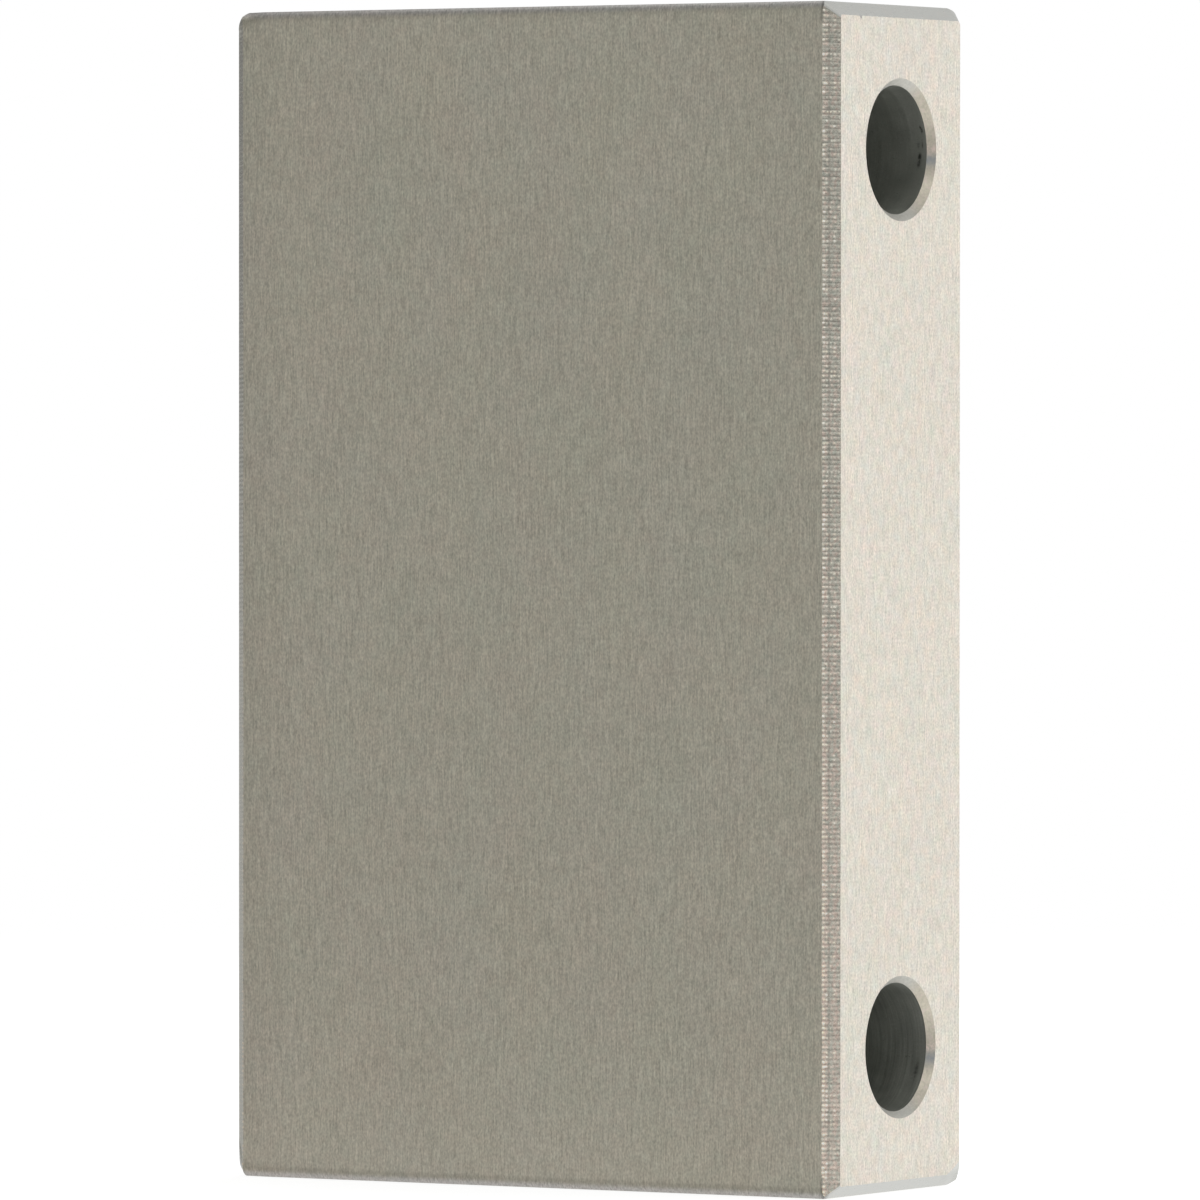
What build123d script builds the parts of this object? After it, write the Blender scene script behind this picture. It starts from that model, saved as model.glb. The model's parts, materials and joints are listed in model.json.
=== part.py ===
from build123d import *
import os

# Machined mounting block: one rectangular block cut from flat bar, standing on its short end.
# Frame: +Z up along the long side, X across the wide faces and along the two bores, Y through the thickness.
# Origin: centre of the bottom end, on the surface that the block stands on.

# Driving dimensions, in mm
HEIGHT = 80.0  # long side of the bar's section, Z
WIDTH = 47.7  # length that the bar was cut to, X
DEPTH = 18.1  # thickness, Y
FRONT_EDGE_R = 0.6  # broken long edges of the front face, top and bottom
BACK_EDGE_R = 1.3  # rounder long edges of the back face, top and bottom
END_CHAMFER = 0.92  # 45 degree milled chamfer round each narrow end face
BORE_D = 8.65  # clear for an M8 screw
BORE_PITCH = 60.45  # between the two bore axes, along Z
BORE_SINK = 0.5  # 45 degree leg of the countersunk mouths

bore_z = (HEIGHT / 2 - BORE_PITCH / 2, HEIGHT / 2 + BORE_PITCH / 2)

# the bar, its four long edges broken along the whole length
with BuildPart() as bar:
    with Locations((0, 0, HEIGHT / 2)):
        Box(WIDTH, DEPTH, HEIGHT)
    long_edges = bar.edges().filter_by(Axis.X)
    fillet([e for e in long_edges if e.center().Y < 0], FRONT_EDGE_R)
    long_edges = bar.edges().filter_by(Axis.X)
    fillet([e for e in long_edges if e.center().Y > DEPTH / 2 - 0.01], BACK_EDGE_R)

with BuildPart() as block:
    # flat chamfers round both narrow end faces, meeting in plain mitres at the corners
    with Locations((0, 0, HEIGHT / 2)):
        Box(WIDTH, DEPTH, HEIGHT)
    ends = block.faces().filter_by(Axis.X)
    chamfer(ends.edges(), END_CHAMFER)
    add(bar.part, mode=Mode.INTERSECT)

    # two plain bores from one narrow face through to the other
    with Locations(*[(0, 0, z) for z in bore_z]):
        Cylinder(BORE_D / 2, WIDTH, rotation=(0, 90, 0), mode=Mode.SUBTRACT)
    mouths = [
        e
        for e in block.edges().filter_by(GeomType.CIRCLE)
        if abs(e.radius - BORE_D / 2) < 0.01
    ]
    chamfer(mouths, BORE_SINK)

os.makedirs("parts", exist_ok=True)
export_step(block.part, "parts/mounting_block.step")
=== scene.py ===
import json
import math

import bpy
import numpy as np
from mathutils import Matrix, Vector
from mathutils.geometry import tessellate_polygon


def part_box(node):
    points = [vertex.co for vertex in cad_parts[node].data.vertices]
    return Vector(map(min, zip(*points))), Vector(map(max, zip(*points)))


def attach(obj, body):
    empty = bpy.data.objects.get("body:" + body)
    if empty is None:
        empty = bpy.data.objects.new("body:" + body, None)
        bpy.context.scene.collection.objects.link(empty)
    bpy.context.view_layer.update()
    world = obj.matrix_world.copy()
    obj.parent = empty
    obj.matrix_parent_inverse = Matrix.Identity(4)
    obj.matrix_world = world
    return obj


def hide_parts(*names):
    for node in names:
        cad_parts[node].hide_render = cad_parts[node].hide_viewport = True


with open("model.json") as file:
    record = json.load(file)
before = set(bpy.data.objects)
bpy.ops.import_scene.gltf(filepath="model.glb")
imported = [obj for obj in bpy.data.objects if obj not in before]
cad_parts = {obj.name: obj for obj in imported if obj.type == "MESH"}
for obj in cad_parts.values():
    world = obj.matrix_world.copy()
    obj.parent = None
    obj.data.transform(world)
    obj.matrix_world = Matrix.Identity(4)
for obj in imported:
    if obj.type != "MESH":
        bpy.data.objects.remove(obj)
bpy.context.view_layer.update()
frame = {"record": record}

MM = 0.001

# ---------------------------------------------------------------- sizes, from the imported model, in mm
lo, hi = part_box("mounting_block")
X1 = hi.x / MM  # half width
Y1 = hi.y / MM  # half thickness
H = hi.z / MM
bores = [
    (m["pos_m"][1] / MM, m["pos_m"][2] / MM, m["dims"]["r_mm"])
    for m in frame["record"]["mounts"]
    if m["kind"] == "bore"
]
C_X = 0.92  # leg of the end chamfer along X
C_V = 0.90  # its leg on the narrow face's long sides
C_T = 0.905  # on its top
C_B = 0.80  # on its bottom
SINK, SINK_OUT = 0.47, 0.465  # legs of the countersinks, into the block and on the narrow face
BORE_WEAR, BORE_SHIFT = 0.02, 0.03  # the drill ran this much wide, and this far off centre toward the back
PITCH = 0.3205  # one tooth mark of the chamfer mill
LEAN = 0.030  # how far the marks climb across the chamfer
DRIFT_A, DRIFT_K = 0.02, 0.35  # slow drift of the marks along it

# brightness of what the metal mirrors, 1 is white; the FLOOR values set the floor's painted glow, with painted light
# and shade by place
FLOOR_TOUCH, FLOOR_NEAR, FLOOR_MID, FLOOR_FAR = 0.59, 0.385, 0.575, 0.42
FLOOR_SIDE, FLOOR_BACK, FLOOR_UNDER = 0.79, 1.17, 0.99
PANEL, SKY, SKY_DROP, ZENITH, LEFT_DROP, RIGHT_LIFT = 0.755, 0.445, 0.15, 0.56, 0.145, 0.34

# Every corner of the section is an elliptical rounding. For each end: the rounding of the bar's edge where it meets
# the chamfer, that of the narrow face's corner, and how softly the two chamfers meet between them.
# Names: f and b for front and back, t and b for top and bottom. Each pair is (along Y, along Z).
CORNERS = {
    (+1, "ft"): ((0.30, 0.90), (0.16, 0.22), 0.30),
    (+1, "bt"): ((1.18, 1.40), (0.35, 0.30), 0.60),
    (+1, "bb"): ((1.10, 1.60), (1.78, 0.88), 0.02),
    (+1, "fb"): ((0.30, 0.90), (0.12, 0.12), 0.05),
    (-1, "ft"): ((0.99, 1.35), (0.10, 0.27), 0.18),
    (-1, "bt"): ((0.80, 1.20), (0.30, 0.30), 0.40),
    (-1, "bb"): ((0.80, 1.20), (0.40, 0.40), 0.40),
    (-1, "fb"): ((0.48, 1.35), (0.11, 1.60), 0.60),
}
# how straight the narrow face's corner is cut, and how far the chamfers swell out beside the corners
CHORD = {(+1, "bb"): 0.8}
SWELL = {(-1, "fb"): 0.095, (-1, "ft"): 0.085, (+1, "bb"): 0.085}
# the long edges away from the ends
MIDDLE = {"ft": (0.30, 0.90), "bt": (0.90, 1.10), "bb": (0.90, 1.10), "fb": (0.32, 0.90)}
# how far from the bar's end each milled long chamfer stops, along its outer edge
CUT = {"ft": 0.355, "bt": 0.40, "bb": 0.40, "fb": 0.16}

# ---------------------------------------------------------------- smooth noise in plain python


def hash01(i, j=0, k=0):
    n = (i * 374761393 + j * 668265263 + k * 2147483647 + 144665) & 0xFFFFFFFF
    n = ((n ^ (n >> 13)) * 1274126177) & 0xFFFFFFFF
    return ((n ^ (n >> 16)) & 0xFFFFFF) / float(0xFFFFFF)


def noise1(x, seed=0):
    i = math.floor(x)
    f = x - i
    f = f * f * (3 - 2 * f)
    return hash01(i, seed) * (1 - f) + hash01(i + 1, seed) * f


def noise2(x, y, seed=0):
    i, j = math.floor(x), math.floor(y)
    fx, fy = x - i, y - j
    fx, fy = fx * fx * (3 - 2 * fx), fy * fy * (3 - 2 * fy)
    a = hash01(i, j, seed) * (1 - fx) + hash01(i + 1, j, seed) * fx
    b = hash01(i, j + 1, seed) * (1 - fx) + hash01(i + 1, j + 1, seed) * fx
    return a * (1 - fy) + b * fy


# ---------------------------------------------------------------- the columns of points round the section
# They run up the front, over the top to the back, down the back and along the bottom to the front.

STEPS_V = int(round((H - 0.8) / PITCH * 6))  # 6 points to each tooth mark
STEPS_H = 90
STEPS_C = 14
REACH = 3.0  # over this height the columns lean to take up the difference between the two loops

columns = []  # (side, position from 0 to 1 along it)
columns += [("front", i / STEPS_V) for i in range(STEPS_V + 1)]
columns += [("ft", i / STEPS_C) for i in range(1, STEPS_C)]
DENT = 0.161  # where along the top the one deep dent is; more points there
columns += [
    ("top", q)
    for q in sorted(
        [i / STEPS_H for i in range(STEPS_H + 1) if abs(i / STEPS_H - DENT) > 0.031] + [DENT + (i - 12) * 0.0025 for i in range(25)]
    )
]
columns += [("bt", i / STEPS_C) for i in range(1, STEPS_C)]
columns += [("back", i / STEPS_V) for i in range(STEPS_V + 1)]
columns += [("bb", i / STEPS_C) for i in range(1, STEPS_C)]
columns += [("bottom", i / STEPS_H) for i in range(STEPS_H + 1)]
columns += [("fb", i / STEPS_C) for i in range(1, STEPS_C)]
N = len(columns)


def offset(v, r):
    """How far the edge's rounding has cut in along Y, v from the bar's top or bottom."""
    if v >= r[1]:
        return 0.0
    q = 1 - v / r[1]
    return r[0] * (1 - math.sqrt(max(0.0, 1 - q * q)))


def on_corner(name, q, r):
    """A point of the rounding past its cut: (distance from the front or back plane, distance from the top or bottom)."""
    a0 = math.asin(1 - CUT[name] / r[1])
    if name in ("bt", "fb"):
        q = 1 - q
    a = a0 + (math.pi / 2 - a0) * q
    return r[0] * (1 - math.cos(a)), r[1] * (1 - math.sin(a))


def outer_point(col, r):
    """Where a column meets the bar's skin: (y, z, distance from front or back, distance from top or bottom)."""
    side, q = col
    if side in ("front", "back"):
        names = ("fb", "ft") if side == "front" else ("bt", "bb")
        z0, z1 = (CUT["fb"], H - CUT["ft"]) if side == "front" else (H - CUT["bt"], CUT["bb"])
        z = z0 + (z1 - z0) * q
        top, low = (names[1], names[0]) if side == "front" else names
        u = offset(H - z, r[top]) + offset(z, r[low])
        return (-Y1 + u if side == "front" else Y1 - u), z, u, min(z, H - z)
    if side in ("top", "bottom"):
        a, b = ("ft", "bt") if side == "top" else ("bb", "fb")
        if side == "top":
            y0, y1 = -Y1 + r["ft"][0], Y1 - r["bt"][0]
        else:
            y0, y1 = Y1 - r["bb"][0], -Y1 + r["fb"][0]
        y = y0 + (y1 - y0) * q
        return y, (H if side == "top" else 0.0), Y1 - abs(y), 0.0
    u, v = on_corner(side, q, r[side])
    return (-Y1 + u if side[0] == "f" else Y1 - u), (H - v if side[1] == "t" else v), u, v


def inner_point(col, z_outer, r, chord):
    """Where a column meets the narrow face: (y, z)."""
    side, q = col
    if side in ("front", "back"):
        t, b = ("ft", "fb") if side == "front" else ("bt", "bb")
        z = z_outer
        for cut, stop, end in ((CUT[b], C_B + r[b][1], 0), (CUT[t], C_T + r[t][1], 1)):
            d = z_outer if end == 0 else H - z_outer
            if d < REACH:
                d = stop + (REACH - stop) * (d - cut) / (REACH - cut)
                z = d if end == 0 else H - d
        return (-Y1 + C_V if side == "front" else Y1 - C_V), z
    if side in ("top", "bottom"):
        z = H - C_T if side == "top" else C_B
        if side == "top":
            y0, y1 = -Y1 + C_V + r["ft"][0], Y1 - C_V - r["bt"][0]
        else:
            y0, y1 = Y1 - C_V - r["bb"][0], -Y1 + C_V + r["fb"][0]
        return y0 + (y1 - y0) * q, z
    if side in ("bt", "fb"):
        q = 1 - q
    a = math.pi / 2 * q
    c = chord.get(side, 0.0)
    u = C_V + r[side][0] * ((1 - c) * (1 - math.cos(a)) + c * q)
    v = r[side][1] * ((1 - c) * (1 - math.sin(a)) + c * (1 - q))
    return (-Y1 + u if side[0] == "f" else Y1 - u), (H - C_T - v if side[1] == "t" else C_B + v)


def near_corner(col, z):
    """The corner nearest to a column, and 1 beside it falling to 0 over 1.2 mm."""
    side, q = col
    if side in CUT:
        return side, 1.0
    if side in ("front", "back"):
        low, top = ("fb", "ft") if side == "front" else ("bb", "bt")
        name, d = (low, z - CUT[low]) if z < H / 2 else (top, H - CUT[top] - z)
    else:
        first, last = ("ft", "bt") if side == "top" else ("bb", "fb")
        name, d = (first, q * 2 * Y1) if q < 0.5 else (last, (1 - q) * 2 * Y1)
    w = max(0.0, 1 - d / 1.2)
    return name, w * w * (3 - 2 * w)


def soft_min(a, b, k):
    h = max(k - abs(a - b), 0.0) / k
    return min(a, b) - h * h * k / 4


ROWS = 9  # rows of points across the chamfer


def scoop(z, s, end):
    """Depth in mm that the chamfer mill's teeth leave below the chamfer's plane, at height z and s from 0 to 1 across it."""
    zz = z + LEAN * (s - 0.5) + DRIFT_A * math.sin(z * DRIFT_K)
    k = math.floor(zz / PITCH)
    f = zz / PITCH - k
    u = 2 * f - 1
    amp = 0.0105 + 0.0110 * hash01(k, 11 + end) + 0.006 * (noise1(z * 0.5, 5 + end) - 0.5)
    w = max(0.0, min(1.0, (z - 22.0) / 30.0))
    amp *= 0.74 + 0.26 * w * w * (3 - 2 * w)  # the tool cut cleaner toward the bottom
    if end < 0:
        amp *= 0.35  # the other end was cut with a finer feed mark
    # deepest at the outer edge, where the tooth enters, and almost nothing where its two cutting edges overlap
    amp *= 0.9 + 0.6 * max(0.0, 1 - s / 0.30) - 0.55 * math.exp(-(((s - 0.41) / 0.09) ** 2))
    tooth = amp * (1 - u * u)
    # the tool's edge leaves two shallow grooves along the chamfer, uneven from tooth to tooth
    groove = 0.008 * (1 - math.cos(2 * math.pi * (s * 2.35 + 0.06 + 0.08 * (hash01(k, 23 + end) - 0.5)))) * 0.5
    mottle = 0.009 * noise2(zz / PITCH * 1.3, s * 5.2, 31 + end)
    # here and there the teeth bit a little further over the outer edge
    bite = 0.030 * max(0.0, noise1(z * 0.22, 61 + end) - 0.55) * max(0.0, 1 - s / 0.15)
    rest = groove * (0.6 + 0.8 * hash01(k, 41 + end)) + mottle
    return tooth + bite + (rest - 0.017 if end > 0 else 0.4 * rest - 0.008)


verts, faces, mats = [], [], []
sharp_edges = set()
FACE, SIDE, MILLED, SINKS, BORE, BAR_END, SAWN = 0, 1, 2, 3, 4, 5, 6


def add(x, y, z):
    verts.append((x * MM, y * MM, z * MM))
    return len(verts) - 1


def face(ids, mat):
    faces.append(ids)
    mats.append(mat)


# small dents where the narrow face meets its top and bottom chamfers: (y, width, depth)
NICKS_TOP = [(-5.45, 0.085, 0.28), (-5.65, 0.30, 0.03), (-3.9, 0.10, 0.05), (-1.0, 0.12, 0.05), (3.1, 0.10, 0.05)]
NICKS_BOTTOM = [(-7.2, 0.12, 0.06), (-2.3, 0.10, 0.05), (4.9, 0.12, 0.06)]

MILLED_STOP = {"front": (CUT["fb"], H - CUT["ft"]), "back": (CUT["bb"], H - CUT["bt"])}


def end_rows(end):
    """The rows of vertex ids from the bar (row 0) to the narrow face (row ROWS)."""
    ro = {n: CORNERS[(end, n)][0] for n in CUT}
    ri = {n: CORNERS[(end, n)][1] for n in CUT}
    soft = {n: CORNERS[(end, n)][2] for n in CUT}
    grid = [[] for _ in range(ROWS + 1)]
    for col in columns:
        side = col[0]
        yb, zb, u, v = outer_point(col, ro)
        ya, za = inner_point(col, zb, ri, {n: c for (e, n), c in CHORD.items() if e == end})
        corner_name, close = near_corner(col, zb)
        swell = SWELL.get((end, corner_name), 0.02) * close
        low = zb < H / 2
        near = {"front": ("fb", "ft"), "back": ("bb", "bt"), "top": ("ft", "ft"), "bottom": ("fb", "fb")}.get(side, (side, side))
        k = soft[near[0] if low else near[1]]
        if side in ("top", "bottom"):
            m = soft_min(u / C_V, 0.0, soft[("f" if yb < 0 else "b") + side[0]])
        else:
            m = soft_min(u / C_V, v / (C_B if low else C_T), k)
        xb = X1 - C_X * (1 - m)
        for j in range(ROWS + 1):
            t = j / ROWS
            y, z, x = yb + (ya - yb) * t, zb + (za - zb) * t, xb + (X1 - xb) * t
            x = min(x + swell * 4 * t * (1 - t), X1 - 0.002 * (ROWS - j))
            if side in ("front", "back"):
                z0, z1 = MILLED_STOP[side]
                fade = max(0.0, min(1.0, (zb - z0) / 0.14, (z1 - zb) / 0.14))
                d = scoop(z, t, end if side == "front" else end * 2) * fade
                inward = 1 if side == "front" else -1
                if j == 0:
                    x -= d * 1.4142
                elif j == ROWS:
                    y += inward * d * 1.4142
                else:
                    x -= d * 0.7071
                    y += inward * d * 0.7071
            elif side in ("top", "bottom"):
                # the short sides were cut cleaner: only a slight unevenness
                wob = 0.004 * noise2(y * 2.2 + 40, t * 2 + z, 71 + end)
                down = 1 if side == "top" else -1
                if 0 < j < ROWS:
                    x -= wob * 0.7071
                    z -= wob * 0.7071 * down
                if j == ROWS:
                    dip = 0.012 * (noise1(y * 3.1 + 9, 77 + end) - 0.5) + 0.010 * (noise1(y * 9.0 + 3, 78 + end) - 0.5)
                    if end > 0:
                        for yn, w, dep in NICKS_TOP if side == "top" else NICKS_BOTTOM:
                            dip += dep * math.exp(-(((y - yn) / w) ** 2))
                    z -= dip * down
            grid[j].append(add(end * x, y, z))
    return grid


rows = {+1: end_rows(+1), -1: end_rows(-1)}

# chamfers
for end in (+1, -1):
    for j in range(ROWS):
        a, b = rows[end][j], rows[end][j + 1]
        for i in range(N):
            i2 = (i + 1) % N
            s1, s2 = columns[i][0], columns[i2][0]
            milled = s1 == s2 and s1 in ("front", "back")
            ids = (a[i], b[i], b[i2], a[i2]) if end > 0 else (a[i], a[i2], b[i2], b[i])
            face(ids, MILLED if milled else BAR_END)
    for i in range(N):
        i2 = (i + 1) % N
        sharp_edges.add(frozenset((rows[end][0][i], rows[end][0][i2])))
        sharp_edges.add(frozenset((rows[end][ROWS][i], rows[end][ROWS][i2])))
        # the crease where a milled chamfer stops
        for a, b in ((i, i2), (i2, i)):
            if columns[a][0] in ("front", "back") and columns[b][0] not in ("front", "back"):
                for j in range(ROWS):
                    sharp_edges.add(frozenset((rows[end][j][a], rows[end][j + 1][a])))

# the bar's skin, in strips between stations along X: the roundings of the long edges change only near the ends
STATIONS = (0.30, 0.80, 1.60)


def station(end, dist):
    w = dist / STATIONS[-1]
    w = w * w * (3 - 2 * w)
    r = {}
    for n in CUT:
        a, b = CORNERS[(end, n)][0], MIDDLE[n]
        r[n] = (a[0] + (b[0] - a[0]) * w, a[1] + (b[1] - a[1]) * w)
    x = end * (X1 - C_X - dist)
    ids = []
    for col in columns:
        y, z, _, _ = outer_point(col, r)
        ids.append(add(x, y, z))
    return ids


def skin(a, b):
    """A strip between two loops of points, a further left than b."""
    for i in range(N):
        i2 = (i + 1) % N
        s1, s2 = columns[i][0], columns[i2][0]
        flat = s1 == s2 and s1 in ("top", "bottom")
        face((a[i], b[i], b[i2], a[i2]), SAWN if flat else FACE)


chain = [rows[-1][0]] + [station(-1, d) for d in STATIONS] + [station(+1, d) for d in reversed(STATIONS)] + [rows[+1][0]]
for a, b in zip(chain, chain[1:]):
    skin(a, b)

# narrow faces with their countersunk bores
SEG = 128
middle_rings = {}
for end in (+1, -1):
    outline = [Vector((verts[v][1] / MM, verts[v][2] / MM, 0)) for v in rows[end][ROWS]]
    # a coarse loop just inside the fine outline, so that no long thin triangles arise
    y0, y1, z0, z1 = -Y1 + C_V + 0.8, Y1 - C_V - 0.8, C_B + 1.0, H - C_T - 1.0
    n_z, n_y = 56, 10

    def bow(i, n):
        return 0.15 * (1 - (2 * i / n - 1) ** 2)  # slightly bowed, so that no three points are in line

    inset = [(y0 - bow(i, n_z), z0 + (z1 - z0) * i / n_z) for i in range(n_z)] + [(y0 + (y1 - y0) * i / n_y, z1 + bow(i, n_y)) for i in range(n_y)]
    inset += [(y1 + bow(i, n_z), z1 + (z0 - z1) * i / n_z) for i in range(n_z)] + [(y1 + (y0 - y1) * i / n_y, z0 - bow(i, n_y)) for i in range(n_y)]
    inset_ids = [add(end * X1, y, z) for y, z in inset]
    inset = [Vector((y, z, 0)) for y, z in inset]

    def flat(polys, ids):
        for tri in tessellate_polygon(polys):
            a, b, c = (ids[t] for t in tri)
            pa, pb, pc = (np.array(verts[v]) for v in (a, b, c))
            n = np.cross(pb - pa, pc - pa)
            if np.linalg.norm(n) > 1e-16:
                face((a, b, c) if n[0] * end > 0 else (a, c, b), SIDE)

    flat([outline, inset], list(rows[end][ROWS]) + inset_ids)
    polys = [inset]
    flat_ids = list(inset_ids)
    for by, bz, br in bores:
        ring = []
        for k in range(SEG):
            a = 2 * math.pi * k / SEG
            y, z = by + BORE_SHIFT + (br + BORE_WEAR + SINK_OUT) * math.cos(a), bz + (br + BORE_WEAR + SINK_OUT) * math.sin(a)
            ring.append(Vector((y, z, 0)))
            flat_ids.append(add(end * X1, y, z))
        polys.append(ring)
    flat(polys, flat_ids)
    # countersink and bore wall, each bore's rings from this end inwards
    for nb, (by, bz, br) in enumerate(bores):
        prev = [flat_ids[len(inset_ids) + nb * SEG + k] for k in range(SEG)]
        steps = [(SINK * 0.5, SINK_OUT * 0.5), (SINK, 0.0), (SINK + 0.35, 0.0), (SINK + 1.5, 0.0), (SINK + 4.5, 0.0), (X1, 0.0)]
        for step, (depth, out) in enumerate(steps):
            if depth == X1 and end < 0:
                ring = middle_rings[nb]
            else:
                ring = []
                for k in range(SEG):
                    a = 2 * math.pi * k / SEG
                    r = br + BORE_WEAR + out
                    ring.append(add(end * (X1 - depth), by + BORE_SHIFT + r * math.cos(a), bz + r * math.sin(a)))
            if depth == X1 and end > 0:
                middle_rings[nb] = ring
            for k in range(SEG):
                k2 = (k + 1) % SEG
                ids = (prev[k], ring[k], ring[k2], prev[k2])
                face(ids[::-1] if end > 0 else ids, SINKS if step < 2 else BORE)
                if step in (0, 2):
                    sharp_edges.add(frozenset((prev[k], prev[k2])))
            prev = ring

mesh = bpy.data.meshes.new("mounting_block_body")
mesh.from_pydata(verts, [], faces)
mesh.polygons.foreach_set("use_smooth", [True] * len(faces))
mesh.polygons.foreach_set("material_index", mats)
mesh.update()
flags = np.zeros(len(mesh.edges), bool)
pairs = np.zeros(len(mesh.edges) * 2, np.int32)
mesh.edges.foreach_get("vertices", pairs)
for n, (a, b) in enumerate(pairs.reshape(-1, 2)):
    if frozenset((int(a), int(b))) in sharp_edges:
        flags[n] = True
attr = mesh.attributes.get("sharp_edge") or mesh.attributes.new("sharp_edge", "BOOLEAN", "EDGE")
attr.data.foreach_set("value", flags)
mesh.validate(verbose=False)
block = bpy.data.objects.new("block_body", mesh)
bpy.context.scene.collection.objects.link(block)
print("BLOCK verts", len(mesh.vertices), "faces", len(mesh.polygons), "tris", sum(len(p.vertices) - 2 for p in mesh.polygons))

# ---------------------------------------------------------------- materials


class Nodes:
    """Short names for building a node tree."""

    def __init__(self, tree):
        self.t = tree

    def new(self, kind, **props):
        n = self.t.nodes.new(kind)
        for k, v in props.items():
            setattr(n, k, v)
        return n

    def link(self, a, b):
        self.t.links.new(a, b)

    def val(self, sock, value):
        if isinstance(value, bpy.types.NodeSocket):
            self.link(value, sock)
        else:
            sock.default_value = value

    def math(self, op, a, b=0.0, c=0.0, clamp=False):
        n = self.new("ShaderNodeMath", operation=op, use_clamp=clamp)
        self.val(n.inputs[0], a)
        if len(n.inputs) > 1:
            self.val(n.inputs[1], b)
        if len(n.inputs) > 2:
            self.val(n.inputs[2], c)
        return n.outputs[0]

    def add(self, *terms):
        out = terms[0]
        for t in terms[1:]:
            out = self.math("ADD", out, t)
        return out

    def mul(self, *terms):
        out = terms[0]
        for t in terms[1:]:
            out = self.math("MULTIPLY", out, t)
        return out

    def vary(self, n, amount):
        """1 + amount * (n - 0.5), a multiplier from a noise."""
        return self.math("MULTIPLY_ADD", n, amount, 1 - amount / 2)

    def bell(self, x, centre, width):
        """1 at the centre, falling off on both sides."""
        q = self.math("DIVIDE", self.math("SUBTRACT", x, centre), width)
        return self.math("EXPONENT", self.math("MULTIPLY", self.math("MULTIPLY", q, q), -1.0))

    def noise(self, vec, scale=1.0, detail=2.0, rough=0.5, distortion=0.0):
        n = self.new("ShaderNodeTexNoise", noise_dimensions="3D")
        self.link(vec, n.inputs["Vector"])
        n.inputs["Scale"].default_value = scale
        n.inputs["Detail"].default_value = detail
        n.inputs["Roughness"].default_value = rough
        n.inputs["Distortion"].default_value = distortion
        return n.outputs[0]

    def scaled(self, vec, s, off=(0, 0, 0)):
        n = self.new("ShaderNodeMapping", vector_type="POINT")
        self.link(vec, n.inputs["Vector"])
        n.inputs["Scale"].default_value = s
        n.inputs["Location"].default_value = off
        return n.outputs[0]

    def ramp(self, fac, lo_in, hi_in, lo_out, hi_out, smooth=False):
        n = self.new("ShaderNodeMapRange", interpolation_type="SMOOTHSTEP" if smooth else "LINEAR")
        self.val(n.inputs["Value"], fac)
        self.val(n.inputs["From Min"], lo_in)
        self.val(n.inputs["From Max"], hi_in)
        self.val(n.inputs["To Min"], lo_out)
        self.val(n.inputs["To Max"], hi_out)
        return n.outputs[0]

    def mix(self, fac, a, b):
        n = self.new("ShaderNodeMix", data_type="RGBA")
        self.val(n.inputs[0], fac)
        self.val(n.inputs[6], a)
        self.val(n.inputs[7], b)
        return n.outputs[2]

    def rgb(self, r, g, b):
        n = self.new("ShaderNodeCombineColor")
        for i, v in enumerate((r, g, b)):
            self.val(n.inputs[i], v)
        return n.outputs[0]

    def split(self, vec):
        n = self.new("ShaderNodeSeparateXYZ")
        self.link(vec, n.inputs[0])
        return n.outputs

    def bump(self, bsdf, height, depth_mm, strength=1.0):
        n = self.new("ShaderNodeBump")
        n.inputs["Strength"].default_value = strength
        n.inputs["Distance"].default_value = depth_mm * MM
        self.link(height, n.inputs["Height"])
        self.link(n.outputs[0], bsdf.inputs["Normal"])


def material(name):
    m = bpy.data.materials.new(name)
    m.use_nodes = True
    m.node_tree.nodes.clear()
    k = Nodes(m.node_tree)
    out = k.new("ShaderNodeOutputMaterial")
    bsdf = k.new("ShaderNodeBsdfPrincipled")
    k.link(bsdf.outputs[0], out.inputs[0])
    bsdf.inputs["Metallic"].default_value = 1.0
    coord = k.new("ShaderNodeTexCoord").outputs["Object"]
    mm = k.scaled(coord, (1000, 1000, 1000))  # object position in mm
    return m, k, bsdf, mm


def tangent(k, bsdf, vec):
    n = k.new("ShaderNodeCombineXYZ")
    for i in range(3):
        n.inputs[i].default_value = vec[i]
    k.link(n.outputs[0], bsdf.inputs["Tangent"])


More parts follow.
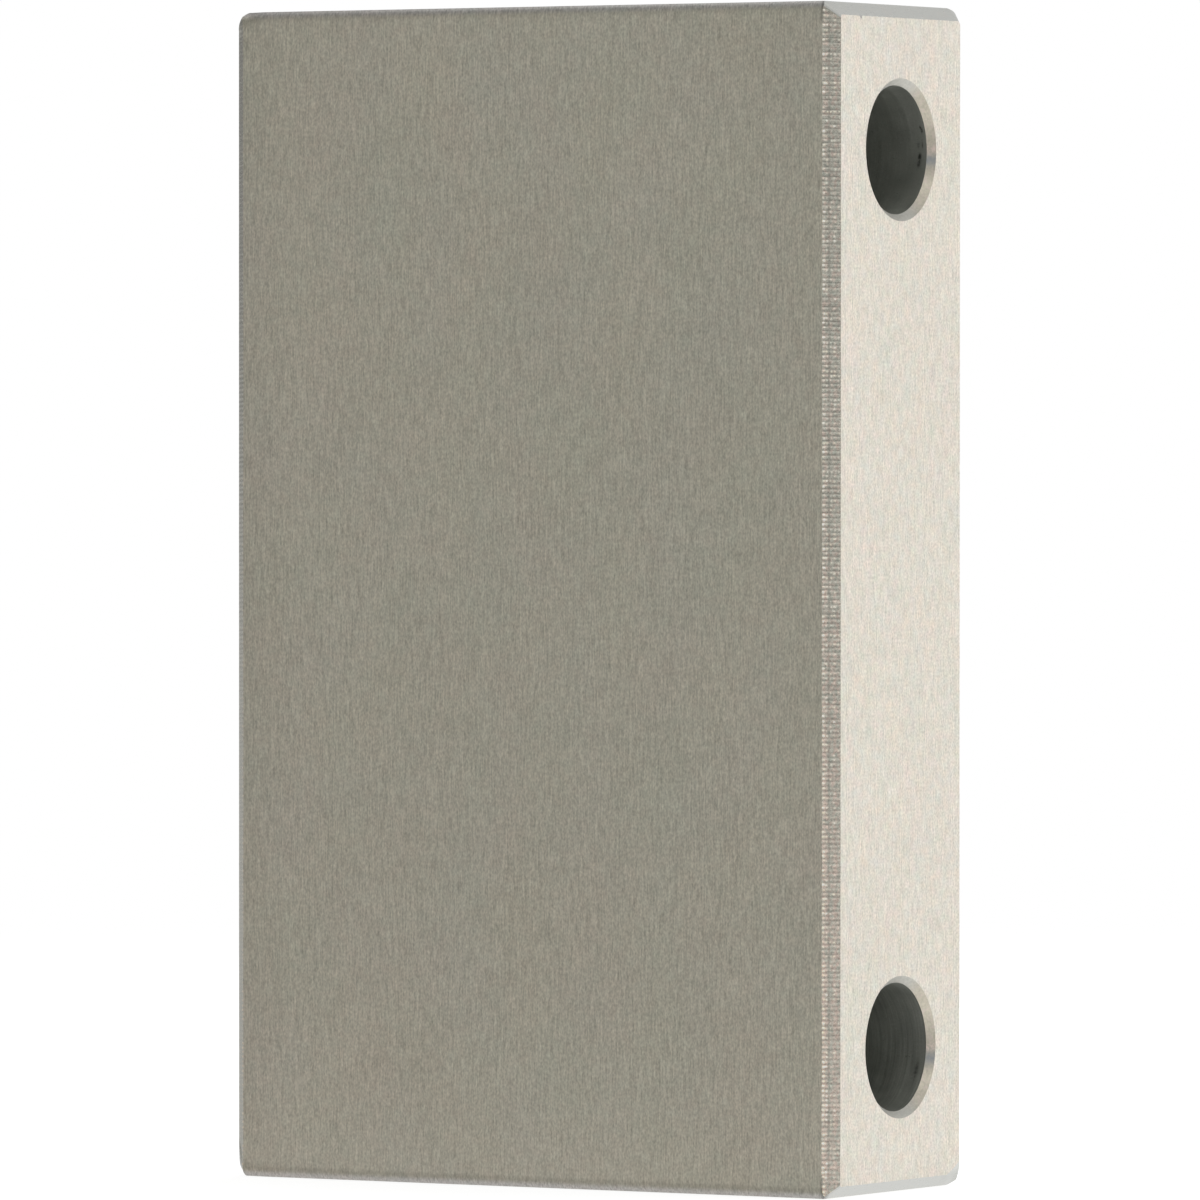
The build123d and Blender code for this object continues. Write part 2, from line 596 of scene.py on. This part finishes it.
def brushed(name, base, along, gain, chroma, cells, rough, tan):
    """Straight-grained metal. along is the grain's axis; cells are noise cells in a mm, across and along the grain."""
    m, k, b, mm = material(name)
    across, short, long_ = cells

    def stretched(c, a, off):
        s = [c, c, c]
        s[along] = a
        return k.scaled(mm, tuple(s), off)

    a = k.noise(stretched(across, short, (0.45, 0.56, 0.3)), 1.0, 1.0, 0.5)
    c = k.noise(stretched(across, long_, (31.4, 7.6, 3.1)), 1.0, 1.0, 0.5)
    d = k.noise(stretched(across * 0.42, across * 0.17, (5.3, 9.5, 1.7)), 1.0, 1.0, 0.5)
    grain = k.add(k.mul(a, 0.50), k.mul(c, 0.36), k.mul(d, 0.14))
    light = k.vary(grain, gain)
    # broad, barely visible clouds
    clouds = k.noise(k.scaled(mm, (0.11, 0.11, 0.07), (2.2, 4.4, 6.6)), 1.0, 1.0, 0.5)
    light = k.mul(light, k.vary(clouds, 0.05))
    if name == "brushed_metal":
        # faint arcs that the facing cutter left on the wide faces, clearest right of the middle
        x, y, z = k.split(mm)
        wobble = k.noise(k.scaled(mm, (0.2, 0.2, 0.2), (8, 8, 8)), 1.0, 0.0, 0.5)
        phase = k.add(k.mul(z, 2 * math.pi / 0.65), k.mul(x, x, 0.010), k.mul(x, -0.55), k.mul(wobble, 9.0))
        here = k.mul(k.bell(x, 8.0, 9.0), k.bell(z, 40.0, 20.0))
        light = k.mul(light, k.math("MULTIPLY_ADD", k.mul(k.math("SINE", phase), here), 0.014, 1.0))
    # tints: fine ones, and broad faint ones
    cr = k.noise(k.scaled(mm, chroma[2], (1.5, 2.5, 11.5)), 1.0, 0.5, 0.5)
    cb = k.noise(k.scaled(mm, chroma[2], (21.5, 12.5, 31.5)), 1.0, 0.5, 0.5)
    broad = k.noise(k.scaled(mm, chroma[4], (7.5, 4.5, 1.5)), 1.0, 1.0, 0.5)
    red, green, blue = base
    if name == "brushed_metal":
        # duller toward one end, and greyer on the roundings, where the grain is worn off
        x, y, z = k.split(mm)
        light = k.mul(light, k.ramp(x, -22.9, -18.5, 0.955, 1.0, smooth=True))
        worn = k.math("MAXIMUM", k.ramp(z, 0.12, 0.55, 1.0, 0.0, smooth=True), k.ramp(z, H - 0.60, H - 0.12, 0.0, 1.0, smooth=True))
        # painted shade: a dark line on the front face beside the milled chamfer, near the top and bottom, standing in
        # for the dark reflection in the rolled edge
        beside = k.mul(k.ramp(x, X1 - C_X - 0.17, X1 - C_X - 0.06, 0.0, 1.0), k.ramp(y, 0.0, 0.1, 1.0, 0.0))
        tips = k.math("MAXIMUM", k.ramp(z, H - 1.6, H - 1.1, 0.0, 1.0), k.ramp(z, 1.1, 1.6, 1.0, 0.0))
        light = k.mul(light, k.math("SUBTRACT", 1.0, k.mul(beside, tips, 0.36)))
        green = k.math("MULTIPLY_ADD", worn, 0.012, green)
        blue = k.math("MULTIPLY_ADD", worn, 0.085, blue)
        # a shade pinker toward the bottom and toward the other end
        red = k.add(k.ramp(x, -22.0, 5.0, 0.009, 0.0), k.ramp(z, 2.0, 40.0, 0.008, 0.0), red)
    red = k.mul(light, k.vary(cr, chroma[0]), k.vary(broad, chroma[3]), red)
    green = k.mul(light, green)
    hazy = k.noise(k.scaled(mm, chroma[4], (17.5, 2.5, 12.5)), 1.0, 1.0, 0.5)
    blue = k.mul(light, k.vary(cb, chroma[1]), k.vary(hazy, chroma[3] * 0.6), blue)
    k.link(k.rgb(red, green, blue), b.inputs["Base Color"])
    k.link(k.ramp(grain, 0.3, 0.7, rough[0], rough[1]), b.inputs["Roughness"])
    b.inputs["Anisotropic"].default_value = 0.5
    if tan is None:
        t = k.new("ShaderNodeTangent", direction_type="RADIAL", axis="Z")
        k.link(t.outputs[0], b.inputs["Tangent"])
    else:
        tangent(k, b, tan)
    k.bump(b, grain, 0.004, 0.30)
    return m


# wide faces and the roundings of their edges: fine straight grain along Z
m_face = brushed("brushed_metal", (0.629, 0.600, 0.493), 2, 1.46, (0.066, 0.018, (1.3, 1.3, 1.5), 0.075, (0.18, 0.18, 0.12)), (8.6, 4.7, 0.66), (0.30, 0.38), None)
# narrow faces: the same grain, a little finer, mottled cream and grey-green
m_side = brushed("brushed_narrow", (0.651, 0.611, 0.535), 2, 1.40, (0.155, 0.10, (1.15, 1.15, 1.7), 0.115, (0.45, 0.45, 0.26)), (6.4, 5.6, 0.75), (0.30, 0.36), None)
# the bar's long narrow sides, top and bottom: grain along the bar
m_sawn = brushed("brushed_long", (0.625, 0.600, 0.510), 0, 1.3, (0.09, 0.06, (1.6, 1.6, 1.6), 0.085, (0.30, 0.30, 0.20)), (7.3, 2.4, 0.5), (0.30, 0.38), (0, 1, 0))

# the long milled chamfers: bars from the mill's teeth, with painted dark lines between them and painted glints where
# each tooth went in and out
m_milled, k, b, mm = material("milled_chamfer")
x, y, z = k.split(mm)
ax = k.math("ABSOLUTE", x)
s = k.math("DIVIDE", k.math("SUBTRACT", ax, X1 - C_X), C_X)
drift = k.mul(k.math("SINE", k.mul(z, DRIFT_K)), DRIFT_A)
turns = k.math("DIVIDE", k.add(z, drift, k.mul(k.math("SUBTRACT", s, 0.5), LEAN)), PITCH)
tooth = k.math("FLOOR", turns)
f = k.math("FRACT", turns)


def each_tooth(seed):
    n = k.new("ShaderNodeTexWhiteNoise", noise_dimensions="1D")
    k.link(k.add(tooth, seed + 0.5), n.inputs["W"])
    return n.outputs["Value"]


spots = k.noise(k.scaled(mm, (6.4, 6.4, 7.0), (0.3, 0.4, 0.2)), 1.0, 2.0, 0.6)
tint = k.noise(k.scaled(mm, (3.4, 3.4, 3.0), (3, 8, 2)), 1.0, 2.0, 0.6)
green_tint = k.noise(k.scaled(mm, (3.2, 3.2, 2.8), (13, 28, 42)), 1.0, 2.0, 0.6)
right_end = k.ramp(x, -1.0, 1.0, 0.0, 1.0)
higher = k.ramp(z, 22.0, 52.0, 0.0, 1.0, smooth=True)
# painted glints: lighter base colour in spots where each tooth's corners went in and out: (place across, width, least
# and most strength)
glint_dots = None
first = None
for n, (centre, width, least, most) in enumerate(
    ((0.085, 0.062, 0.10, 1.85), (0.255, 0.060, 0.05, 1.05), (0.470, 0.050, 0.05, 0.85), (0.670, 0.072, 0.05, 0.95), (0.895, 0.050, 0.00, 0.50))
):
    at = k.math("MULTIPLY_ADD", each_tooth(3 + 6 * n), 0.06, centre - 0.03)
    chance = each_tooth(5 + 6 * n)
    when = k.bell(f, k.math("MULTIPLY_ADD", each_tooth(7 + 6 * n), 0.26, 0.43), 0.21)
    one = k.mul(k.bell(s, at, width), when, k.math("MULTIPLY_ADD", k.mul(chance, chance), most - least, least))
    glint_dots = one if glint_dots is None else k.add(glint_dots, one)
    first = one if first is None else first
# painted shade: dark lines in the creases between the teeth, faint in the groove where the tool's two cutting edges
# overlap
between = k.bell(k.math("MINIMUM", f, k.math("SUBTRACT", 1.0, f)), 0.0, 0.17)
gap = k.bell(s, 0.385, 0.075)
cusp = k.mul(between, k.math("SUBTRACT", k.ramp(s, 0.35, 0.50, 0.27, 0.22), k.mul(gap, 0.17)), k.math("MULTIPLY_ADD", each_tooth(41), 1.1, 0.45), k.ramp(higher, 0.0, 1.0, 0.60, 1.0))
# the painted glints are stronger and weaker in spells along the edge
spell = k.noise(k.scaled(mm, (0.3, 0.3, 0.55), (7.7, 3.3, 1.1)), 1.0, 1.0, 0.5)
strong = k.mul(k.ramp(spell, 0.38, 0.62, 0.75, 1.15), k.ramp(higher, 0.0, 1.0, 0.82, 0.95), k.ramp(z, 6.0, 18.0, 1.50, 1.0))
# low down, the half beside the narrow face is calmer
calm = k.math("SUBTRACT", 1.0, k.mul(k.ramp(z, 8.0, 22.0, 0.50, 0.0), k.ramp(s, 0.34, 0.42, 0.0, 1.0)))
strong = k.mul(strong, calm)
cusp = k.mul(cusp, calm)
level = k.mul(k.vary(spots, 1.20), k.vary(each_tooth(21), 0.10), k.math("SUBTRACT", 1.0, k.mul(gap, 0.16)))
level = k.mul(level, k.math("SUBTRACT", 1.0, cusp), k.add(k.mul(glint_dots, strong), 0.865))
level = k.mul(level, k.ramp(s, 0.10, 0.36, 1.07, 1.0), k.ramp(k.mul(k.math("SUBTRACT", 1.0, higher), k.ramp(s, 0.1, 0.36, 1.0, 0.25)), 0.0, 1.0, 1.0, 1.08))
level = k.mul(level, k.ramp(z, 10.0, 75.0, 1.055, 1.0))
# the other end's chamfer is more even
level = k.add(k.mul(level, k.ramp(right_end, 0.0, 1.0, 0.25, 1.0)), k.ramp(right_end, 0.0, 1.0, 0.615, 0.0))
# painted shade: a thin dark line along the outer edge close to both corners, standing in for the dark reflection in the
# rolled edge
ends = k.math("MAXIMUM", k.ramp(z, H - 1.6, H - 1.1, 0.0, 1.0), k.ramp(z, 1.1, 1.6, 1.0, 0.0))
level = k.mul(level, k.math("SUBTRACT", 1.0, k.mul(k.ramp(s, 0.02, 0.08, 0.36, 0.0), ends)))
# pinkish where the spots are, more so toward the bottom, with some green and some yellow
rosy = k.add(k.mul(k.bell(s, 0.17, 0.13), k.ramp(higher, 0.0, 1.0, 0.66, 0.33)), k.mul(k.bell(s, 0.70, 0.12), k.ramp(higher, 0.0, 1.0, 0.44, 0.20)))
pink = k.mul(k.math("ADD", k.ramp(tint, 0.42, 0.66, -0.25, 0.70), k.add(rosy, k.ramp(higher, 0.0, 1.0, 0.22, 0.02)), clamp=True), right_end)
base = k.mix(pink, (0.600, 0.582, 0.503, 1), (0.712, 0.590, 0.507, 1))
base = k.mix(k.ramp(green_tint, 0.52, 0.68, 0.0, 0.75), base, (0.548, 0.566, 0.488, 1))
# some painted glints are yellowish, the first row warm
yellow = k.mul(k.math("MULTIPLY", glint_dots, 1.5, clamp=True), k.ramp(each_tooth(51), 0.45, 0.75, 0.10, 0.65))
base = k.mix(yellow, base, (0.668, 0.610, 0.470, 1))
base = k.mix(k.mul(k.math("MULTIPLY", first, 1.5, clamp=True), k.ramp(z, 4.0, 22.0, 0.95, 0.40), k.ramp(z, 25.0, 50.0, 1.0, 0.30)), base, (0.835, 0.603, 0.405, 1))
scale = k.new("ShaderNodeVectorMath", operation="SCALE")
k.link(base, scale.inputs[0])
k.link(level, scale.inputs["Scale"])
clip = k.new("ShaderNodeVectorMath", operation="MINIMUM")
k.link(scale.outputs[0], clip.inputs[0])
clip.inputs[1].default_value = (0.95, 0.93, 0.90)
k.link(clip.outputs[0], b.inputs["Base Color"])
k.link(k.ramp(spots, 0.3, 0.7, 0.20, 0.30), b.inputs["Roughness"])
k.bump(b, k.noise(k.scaled(mm, (6, 6, 14)), 1.0, 2.0, 0.5), 0.003, 0.3)

# the short chamfers at top and bottom and the corners beside them: cleaner, with streaks along Y
m_short, k, b, mm = material("fine_chamfer")
streak = k.noise(k.scaled(mm, (8, 1.2, 8)), 1.0, 3.0, 0.6)
tint = k.noise(k.scaled(mm, (1.6, 1.6, 1.6), (3, 1, 7)), 1.0, 2.0, 0.6)
x, y, z = k.split(mm)
# painted shade: a dark spot in the deep dent at the top of the narrow face, where the dent's shade falls
nick_shade = k.mul(k.bell(y, -5.45, 0.12), k.bell(z, H - C_T - 0.15, 0.17), k.ramp(x, 0.0, 1.0, 0.0, 1.0))
base = k.mix(k.ramp(streak, 0.3, 0.7, 0.0, 1.0), (0.548, 0.554, 0.524, 1), (0.598, 0.600, 0.567, 1))
base = k.mix(k.ramp(tint, 0.55, 0.70, 0.0, 0.5), base, (0.598, 0.578, 0.533, 1))
base = k.mix(k.mul(nick_shade, 0.60), base, (0.250, 0.220, 0.235, 1))
k.link(base, b.inputs["Base Color"])
k.link(k.ramp(streak, 0.3, 0.7, 0.26, 0.34), b.inputs["Roughness"])
k.bump(b, streak, 0.002, 0.3)

# countersinks: turned, with a painted glint and under it a painted dull bluish reflection on each ring
m_sink, k, b, mm = material("countersink")
x, y, z = k.split(mm)
turned = k.noise(k.scaled(mm, (12, 2.2, 2.2)), 1.0, 3.0, 0.6)
mottled = k.noise(k.scaled(mm, (5.5, 5.0, 5.0), (2, 5, 9)), 1.0, 2.0, 0.65)
streaks = k.ramp(k.add(k.mul(turned, 0.5), k.mul(mottled, 0.5)), 0.34, 0.66, 0.0, 1.0)
grey = k.mix(streaks, (0.560, 0.556, 0.512, 1), (0.700, 0.692, 0.640, 1))
tan = k.mix(streaks, (0.515, 0.482, 0.395, 1), (0.690, 0.645, 0.540, 1))
tan = k.mix(k.ramp(k.noise(k.scaled(mm, (3.0, 3.0, 3.0), (6, 1, 4)), 1.0, 2.0, 0.6), 0.50, 0.66, 0.0, 0.6), tan, (0.680, 0.592, 0.535, 1))
base = k.mix(k.ramp(y, 1.2, 3.2, 0.0, 1.0, smooth=True), grey, tan)
ring_light_and_shade = 0.90
for by, bz, br in bores:
    rise = k.math("SUBTRACT", z, bz)
    outer_side = k.ramp(y, 3.3, 3.7, 0.0, 1.0)
    upper = bz > H / 2
    # painted light and shade: duller and brighter stretches round the ring, by which way each part of it faces
    for centre, width, amount in ((-4.30, 0.45, -0.07), (-2.30, 0.75, 0.27), (0.0, 0.80, -0.05), (2.25, 0.75, 0.16 if upper else 0.09), (4.30, 0.45, 0.02 if upper else -0.03)):
        ring_light_and_shade = k.math("MULTIPLY_ADD", k.bell(rise, centre, width), amount, ring_light_and_shade)
    # a painted glint, mottled, and under it a painted dull bluish reflection, the light line on the turned grooves
    base = k.mix(k.mul(k.bell(rise, 0.10 if upper else -0.22, 0.32), outer_side, k.ramp(mottled, 0.40, 0.60, 0.10, 0.95)), base, (0.830, 0.700, 0.630, 1))
    base = k.mix(k.mul(k.bell(rise, -0.62 if upper else -0.96, 0.36 if upper else 0.46), outer_side, k.ramp(mottled, 0.35, 0.65, 0.95, 0.65)), base, (0.385, 0.412, 0.430, 1) if upper else (0.370, 0.395, 0.410, 1))
scale = k.new("ShaderNodeVectorMath", operation="SCALE")
k.link(base, scale.inputs[0])
k.link(ring_light_and_shade, scale.inputs["Scale"])
k.link(scale.outputs[0], b.inputs["Base Color"])
k.link(k.ramp(turned, 0.3, 0.7, 0.48, 0.58), b.inputs["Roughness"])
k.bump(b, turned, 0.003, 0.3)

# bore walls: drilled, with fine rings, duller and darker than the faces, and a few dark specks
m_bore, k, b, mm = material("drilled_bore")
rings = k.noise(k.scaled(mm, (5.5, 0.16, 0.16), (0.4, 0.3, 0.2)), 1.0, 3.0, 0.65)
grit = k.noise(k.scaled(mm, (7.0, 7.0, 7.0), (4.4, 3.3, 2.2)), 1.0, 2.0, 0.6)
soot = k.noise(k.scaled(mm, (1.0, 1.0, 1.0), (4, 30, 12)), 1.0, 2.0, 0.6)
x, y, z = k.split(mm)
# the upper bore is smoother than the lower
arcs = k.math("MULTIPLY_ADD", k.math("SUBTRACT", rings, 0.5), k.ramp(z, 30.0, 50.0, 0.85, 0.30), 1.0)
smudge = k.noise(k.scaled(mm, (0.5, 0.8, 0.35), (3.1, 6.2, 8.8)), 1.0, 1.0, 0.5)
level = k.mul(arcs, k.vary(grit, 0.30), k.vary(smudge, 0.5), k.ramp(z, 30.0, 50.0, 0.965, 1.0))
speck = k.mul(k.ramp(grit, 0.64, 0.72, 0.0, 1.0), k.ramp(soot, 0.45, 0.6, 0.0, 1.0))
# a few burnt specks just inside the upper bore's mouth
upper_z = max(q[1] for q in bores)
lower_z = min(q[1] for q in bores)
burnt = None
for at_x, at_z, wide, tall, strength in (
    (23.10, upper_z + 1.40, 0.08, 0.18, 1.1),
    (23.03, upper_z + 1.62, 0.06, 0.10, 0.8),
    (22.74, upper_z + 0.42, 0.09, 0.17, 0.7),
    (23.05, upper_z + 0.40, 0.05, 0.20, 0.7),
    (22.84, upper_z - 0.40, 0.11, 0.22, 1.6),
    (22.80, upper_z - 0.88, 0.12, 0.22, 0.8),
    (22.80, lower_z - 1.75, 0.16, 0.55, 0.55),
):
    one = k.mul(k.bell(x, at_x, wide), k.bell(z, at_z, tall), strength)
    burnt = one if burnt is None else k.add(burnt, one)
burnt = k.mul(burnt, k.ramp(y, 3.0, 3.6, 0.0, 1.0))
chips = k.noise(k.scaled(mm, (7.0, 5.0, 5.0), (9.4, 2.3, 5.2)), 1.0, 1.0, 0.5)
speck = k.math("MAXIMUM", k.mul(speck, 0.5), k.math("MULTIPLY", burnt, k.ramp(chips, 0.35, 0.60, 0.5, 1.2), clamp=True))
level = k.mul(level, k.math("SUBTRACT", 1.0, k.mul(speck, 0.8)))
k.link(k.rgb(k.mul(level, 0.503), k.mul(level, 0.516), k.mul(level, 0.473)), b.inputs["Base Color"])
k.link(k.ramp(rings, 0.3, 0.7, 0.50, 0.62), b.inputs["Roughness"])
k.bump(b, rings, 0.006, 0.4)

for m in (m_face, m_side, m_milled, m_sink, m_bore, m_short, m_sawn):
    mesh.materials.append(m)

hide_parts("mounting_block")
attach(block, "root")

# ---------------------------------------------------------------- floor
fm = bpy.data.meshes.new("floor")
seg = 96
fv = [(0.0, 0.0, -0.00004)]
for r in (0.15, 0.6, 3.0, 12.0):
    for i in range(seg):
        a = 2 * math.pi * i / seg
        fv.append((r * math.cos(a), r * math.sin(a), -0.00004))
ff = [(0, 1 + i, 1 + (i + 1) % seg) for i in range(seg)]
for q in range(3):
    for i in range(seg):
        a, b2 = 1 + q * seg + i, 1 + q * seg + (i + 1) % seg
        ff.append((a, a + seg, b2 + seg, b2))
fm.from_pydata(fv, [], ff)
floor = bpy.data.objects.new("floor", fm)
bpy.context.scene.collection.objects.link(floor)
mf = bpy.data.materials.new("floor_pale")
mf.use_nodes = True
mf.node_tree.nodes.clear()
k = Nodes(mf.node_tree)
out = k.new("ShaderNodeOutputMaterial")


def toward(az, el=0.0):
    a, e = math.radians(az), math.radians(el)
    return (math.sin(a) * math.cos(e), -math.cos(a) * math.cos(e), math.sin(e))


# what the eye sees of it: nearly white, with a light soft shadow under the block
dif = k.new("ShaderNodeBsdfDiffuse")
dif.inputs["Color"].default_value = (0.86, 0.86, 0.855, 1)
glow = k.new("ShaderNodeEmission")
glow.inputs["Strength"].default_value = 1.35
white = k.new("ShaderNodeEmission")
white.inputs["Strength"].default_value = 1.0
pos = k.new("ShaderNodeTexCoord").outputs["Object"]
length = k.new("ShaderNodeVectorMath", operation="LENGTH")
k.link(pos, length.inputs[0])
dist = length.outputs["Value"]
pale = k.new("ShaderNodeMixShader")
pale.inputs[0].default_value = 0.62
k.link(dif.outputs[0], pale.inputs[1])
k.link(glow.outputs[0], pale.inputs[2])
seen = k.new("ShaderNodeMixShader")
k.link(k.ramp(dist, 0.08, 0.40, 0.0, 1.0, smooth=True), seen.inputs[0])
k.link(pale.outputs[0], seen.inputs[1])
k.link(white.outputs[0], seen.inputs[2])
# what the metal mirrors of it: a painted glow set by place, not shaded by the block, brighter toward the window side at
# the back right and darker in front
corner = k.new("ShaderNodeVectorMath", operation="SUBTRACT")
k.link(pos, corner.inputs[0])
corner.inputs[1].default_value = (X1 * MM, -Y1 * MM, 0.0)
unit = k.new("ShaderNodeVectorMath", operation="NORMALIZE")
k.link(corner.outputs[0], unit.inputs[0])


def along(vec, source):
    n = k.new("ShaderNodeVectorMath", operation="DOT_PRODUCT")
    k.link(source, n.inputs[0])
    n.inputs[1].default_value = vec
    return n.outputs["Value"]


side = k.ramp(along(toward(70), unit.outputs[0]), -0.1, 0.6, 0.0, 1.0, smooth=True)
back = k.ramp(along(toward(150), unit.outputs[0]), 0.30, 0.95, 0.0, 1.0, smooth=True)
x, y, z = k.split(pos)
# distance in front of the block
front = k.math("SUBTRACT", k.mul(y, -1.0), Y1 * MM)
level = k.add(
    k.ramp(front, 0.0, 0.0009, FLOOR_TOUCH - FLOOR_NEAR, 0.0),
    k.ramp(front, 0.0014, 0.0065, FLOOR_NEAR, FLOOR_MID, smooth=True),
    k.ramp(k.math("LOGARITHM", k.math("MAXIMUM", front, 0.001), 10.0), -2.4, -0.6, 0.0, FLOOR_FAR - FLOOR_MID),
)


def toned(fac, a, b):
    """From a to b."""
    return k.add(k.mul(a, k.math("SUBTRACT", 1.0, fac)), k.mul(fac, b))


level = toned(side, level, FLOOR_SIDE)
level = toned(back, level, FLOOR_BACK)
# painted light under the chamfers of the two ends, where the block's shadow would fall
out_x = k.math("ABSOLUTE", x)
under = k.mul(
    k.ramp(out_x, (X1 - 1.6) * MM, (X1 - 1.0) * MM, 0.0, 1.0),
    k.ramp(out_x, (X1 + 0.6) * MM, (X1 + 5.0) * MM, 1.0, 0.0),
    k.ramp(y, (-Y1 + 0.5) * MM, (-Y1 + 1.0) * MM, 0.0, 1.0),
    k.ramp(y, (Y1 + 1.0) * MM, (Y1 + 3.0) * MM, 1.0, 0.0),
)
level = toned(under, level, FLOOR_UNDER)
mirrored = k.new("ShaderNodeEmission")
k.link(level, mirrored.inputs["Strength"])
path = k.new("ShaderNodeLightPath")
both = k.new("ShaderNodeMixShader")
k.link(path.outputs["Is Camera Ray"], both.inputs[0])
k.link(mirrored.outputs[0], both.inputs[1])
k.link(seen.outputs[0], both.inputs[2])
k.link(both.outputs[0], out.inputs[0])
fm.materials.append(mf)

# ---------------------------------------------------------------- light
world = bpy.data.worlds.new("studio")
bpy.context.scene.world = world
world.use_nodes = True
world.node_tree.nodes.clear()
k = Nodes(world.node_tree)
out = k.new("ShaderNodeOutputWorld")
bg = k.new("ShaderNodeBackground")
d = k.new("ShaderNodeTexCoord").outputs["Generated"]

# a large bright panel at the back right, dim surroundings elsewhere, dimmest above the front
panel = k.ramp(along(toward(150, -5), d), 0.42, 1.0, 0.0, PANEL, smooth=True)
up = k.split(d)[2]
ahead = k.ramp(along(toward(130), d), -0.1, 0.6, 1.0, 0.0, smooth=True)
dim = k.mul(k.ramp(up, 0.12, 0.60, 0.0, SKY_DROP, smooth=True), ahead)
left = k.ramp(along(toward(239), d), 0.5, 0.95, 0.0, LEFT_DROP, smooth=True)
lift = k.ramp(along(toward(76, 38), d), 0.74, 0.98, 0.0, RIGHT_LIFT, smooth=True)
zenith = k.ramp(up, 0.60, 1.0, 0.0, ZENITH)
level = k.math("SUBTRACT", k.add(panel, lift, zenith, SKY), k.add(dim, left))
path = k.new("ShaderNodeLightPath")
eye = path.outputs["Is Camera Ray"]
level = k.add(eye, k.mul(level, k.math("SUBTRACT", 1.0, eye)))
k.link(level, bg.inputs["Strength"])
bg.inputs["Color"].default_value = (1, 1, 1, 1)
k.link(bg.outputs[0], out.inputs[0])

# a soft lamp overhead
data = bpy.data.lights.new("key", "AREA")
data.shape = "SQUARE"
data.size = 0.45
data.energy = 4.4
key = bpy.data.objects.new("key", data)
bpy.context.scene.collection.objects.link(key)
key.location = Vector(toward(150, 66)) * 0.75
key.rotation_mode = "QUATERNION"
key.rotation_quaternion = (Vector((0, 0, 0.02)) - key.location).to_track_quat("-Z", "Y")
key.visible_camera = False
key.visible_glossy = False

# ---------------------------------------------------------------- camera, at the photographed viewing angle
cam_data = bpy.data.cameras.new("camera")
cam = bpy.data.objects.new("camera", cam_data)
bpy.context.scene.collection.objects.link(cam)
cam_data.sensor_fit = "HORIZONTAL"
cam_data.sensor_width = 36.0
cam_data.lens = 351.404
cam_data.clip_start = 0.01
cam_data.clip_end = 100.0
yaw, pitch, roll = math.radians(30.924), math.radians(0.923), math.radians(0.019)
look = Vector((-math.sin(yaw) * math.cos(pitch), math.cos(yaw) * math.cos(pitch), -math.sin(pitch)))
right = look.cross(Vector((0, 0, 1))).normalized()
upward = right.cross(look)
right_r = right * math.cos(roll) + upward * math.sin(roll)
upward_r = upward * math.cos(roll) - right * math.sin(roll)
cam.matrix_world = Matrix(
    (
        (right_r.x, upward_r.x, -look.x, 0.411869),
        (right_r.y, upward_r.y, -look.y, -0.68713),
        (right_r.z, upward_r.z, -look.z, 0.052618),
        (0, 0, 0, 1),
    )
)
bpy.context.scene.camera = cam

scene = bpy.context.scene
scene.view_settings.view_transform = "Standard"
scene.view_settings.look = "None"
scene.view_settings.exposure = 0.0
scene.view_settings.gamma = 1.0
